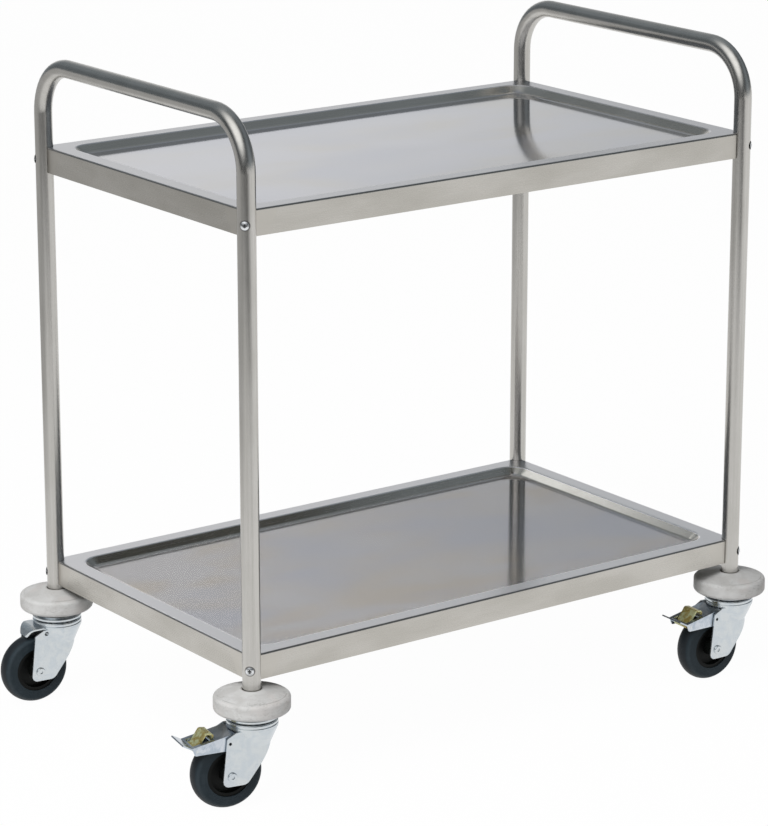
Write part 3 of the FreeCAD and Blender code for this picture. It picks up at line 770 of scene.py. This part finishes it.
lampLook = {
    "top_box": {
        "place": (-2.2, -1.0, 3.2),
        "aim": (-0.1, 0, 0.6),
        "size": 2.6,
        "watts": 135,
        "inMetal": False,                 # metal shows the glow above in its place
    },
    "left_box": {
        "place": (-3.2, -1.6, 2.0),
        "aim": (0, 0, 0.5),
        "size": 1.6,
        "watts": 7,
        "inMetal": False,
    },
    "back_card": {
        "place": (0.1, 1.55, 1.45),
        "aim": (0.39, 0, 0.2),
        "size": 0.45,
        "watts": 1.1,
        "inMetal": True,
        "onlyOn": "lower_tray",           # flagged off from everything else
    },
}
cameraLook = {
    "place": (-2.83973, -3.84403, 1.78263),
    "azimuth": 36.247,                    # degrees to the right of +Y
    "pitch": 16.014,                      # degrees below level
    "focalPixels": 3477.06,
    "imageHeight": 826,                   # the longer side, which the sensor's width spans
    "sensorWidth": 36.0,
    "clipEnd": 200.0,
}


def towards(x, y):                        # how far a place or direction is on the front side of the studio
    azimuth = math.radians(cameraLook["azimuth"])
    return x * -math.sin(azimuth) + y * -math.cos(azimuth)


def sideways(x, y):                       # how far it is on the right side
    azimuth = math.radians(cameraLook["azimuth"])
    return x * math.cos(azimuth) + y * -math.sin(azimuth)


def flatPiece(name, corners):
    mesh = bpy.data.meshes.new(name)
    mesh.from_pydata(corners, [], [tuple(range(len(corners)))])
    piece = bpy.data.objects.new(name, mesh)
    bpy.context.scene.collection.objects.link(piece)
    return piece


def makeFloor():
    half = stageLook["floorHalf"]
    floor = flatPiece("floor", [(-half, -half, 0), (half, -half, 0), (half, half, 0), (-half, half, 0)])
    finish = newFinish("floor_paper")
    paper = finish.nodes["Principled BSDF"]
    finish.surface({
        "Base Color": stageLook["floorTone"],
        "Roughness": stageLook["floorRoughness"],
        "Specular IOR Level": 0.0,
    })
    path = finish.add("ShaderNodeLightPath")
    inMetal = path.out("Is Glossy Ray")
    x, y = finish.split(finish.place())[:2]
    leftFrom, leftTo, leftShare = stageLook["leftFalloff"]
    nearFrom, nearTo, nearShare = stageLook["nearFalloff"]
    dimLeft = 1 - finish.ease(y - x, leftFrom, leftTo) * leftShare
    slant, slantFrom = stageLook["nearSlant"]
    side = sideways(x, y)
    near = finish.ease(towards(x, y) + side.most(slantFrom) * slant, nearFrom, nearTo)
    dimNear = 1 - near * (1 - finish.ease(side, *stageLook["nearEnd"])) * nearShare
    lit = 1 - inMetal * (1 - dimLeft * dimNear)
    white = finish.add("ShaderNodeEmission", None, {"Strength": lit})
    seen = path.out("Is Camera Ray").most(inMetal).most(path.out("Is Transmission Ray"))
    shown = finish.add("ShaderNodeMixShader", None, {0: seen * stageLook["floorWhite"]})
    finish.links.new(paper.outputs[0], shown.node.inputs[1])
    finish.links.new(white.socket, shown.node.inputs[2])
    finish.links.new(shown.socket, finish.nodes["Material Output"].inputs["Surface"])
    floor.data.materials.append(finish.owner)


def makeWorld():
    world = bpy.data.worlds.new("studio")
    bpy.context.scene.world = world
    finish = Finish(world)
    path = finish.add("ShaderNodeLightPath")
    x, y, z = finish.split(finish.add("ShaderNodeTexCoord").out("Generated"))
    side = sideways(x, y)
    behind = 1 - finish.ease(towards(x, y), *stageLook["frontRange"])

    foldFrom, foldTo, foldShare = stageLook["backdropFold"]
    topFrom, topTo, topShare = stageLook["backdropTop"]
    rightFrom, rightTo, rightShare = stageLook["backdropRight"]
    ended = finish.ease(side, *stageLook["backdropEnd"])
    backdrop = 1 - finish.ease(z, foldFrom, foldTo) * foldShare - finish.ease(z, topFrom, topTo) * topShare
    backdrop = backdrop * finish.ease(side, *stageLook["backdropLeft"]) * behind
    backdrop = backdrop * (1 - finish.ease(side, rightFrom, rightTo) * rightShare)
    backdrop = backdrop * (1 - ended)

    everywhere, addedBehind, addedRight = stageLook["roomLevels"]
    leftFrom, leftTo, leftShare = stageLook["dimLeft"]
    dimmed = ended * stageLook["dimRight"] + (1 - finish.ease(side, leftFrom, leftTo)) * leftShare
    dimmed = dimmed * (1 - finish.ease(z, *stageLook["dimLow"]))
    frontRight = finish.ease(side, *stageLook["roomRight"]) * (1 - behind)
    room = everywhere + behind * (1 - dimmed) * addedBehind + frontRight * addedRight
    room = room * (1 - backdrop)

    glowFrom, glowTo, glowLight = stageLook["glow"]
    boxWay = Vector(lampLook["top_box"]["place"]) - Vector((-legX, -legY, stageLook["glowHeight"]))
    boxWay.normalize()
    glow = finish.ease(x * boxWay.x + y * boxWay.y + z * boxWay.z, glowFrom, glowTo) * glowLight

    inMetal = finish.vector("MULTIPLY", stageLook["room"], room)
    inMetal = finish.vector("ADD", inMetal, backdrop + glow)
    fill = stageLook["fill"]
    seen = path.out("Is Camera Ray").most(path.out("Is Transmission Ray"))
    plain = finish.mix(seen, (fill, fill, fill, 1), (1, 1, 1, 1))
    back = finish.nodes["Background"]
    finish.feed(back.inputs["Color"], finish.mix(path.out("Is Glossy Ray"), plain, inMetal))
    back.inputs["Strength"].default_value = 1.0


def softBox(name, look):
    lamp = bpy.data.lights.new(name, "AREA")
    lamp.shape = "SQUARE"
    lamp.size = look["size"]
    lamp.energy = look["watts"]
    holder = bpy.data.objects.new(name, lamp)
    holder.location = look["place"]
    ahead = Vector(look["aim"]) - Vector(look["place"])
    holder.rotation_euler = ahead.to_track_quat("-Z", "Y").to_euler()
    holder.visible_glossy = look["inMetal"]
    if "onlyOn" in look:
        holder.light_linking.receiver_collection = bpy.data.collections.new(name + "_receivers")
        holder.light_linking.receiver_collection.objects.link(nodes[look["onlyOn"]])
    bpy.context.scene.collection.objects.link(holder)


def makeCamera():
    data = bpy.data.cameras.new("photo_view")
    data.sensor_width = cameraLook["sensorWidth"]
    data.lens = cameraLook["focalPixels"] * cameraLook["sensorWidth"] / cameraLook["imageHeight"]
    data.clip_end = cameraLook["clipEnd"]
    camera = bpy.data.objects.new("photo_view", data)
    azimuth = math.radians(cameraLook["azimuth"])
    pitch = math.radians(cameraLook["pitch"])
    level = math.cos(pitch)
    ahead = Vector((math.sin(azimuth) * level, math.cos(azimuth) * level, -math.sin(pitch)))
    camera.location = cameraLook["place"]
    camera.rotation_euler = ahead.to_track_quat("-Z", "Y").to_euler()
    bpy.context.scene.collection.objects.link(camera)
    bpy.context.scene.camera = camera


makeFloor()
makeWorld()
for name, look in lampLook.items():
    softBox(name, look)
makeCamera()
bpy.context.scene.view_settings.view_transform = "Standard"
print("stage, lamps and camera ready")
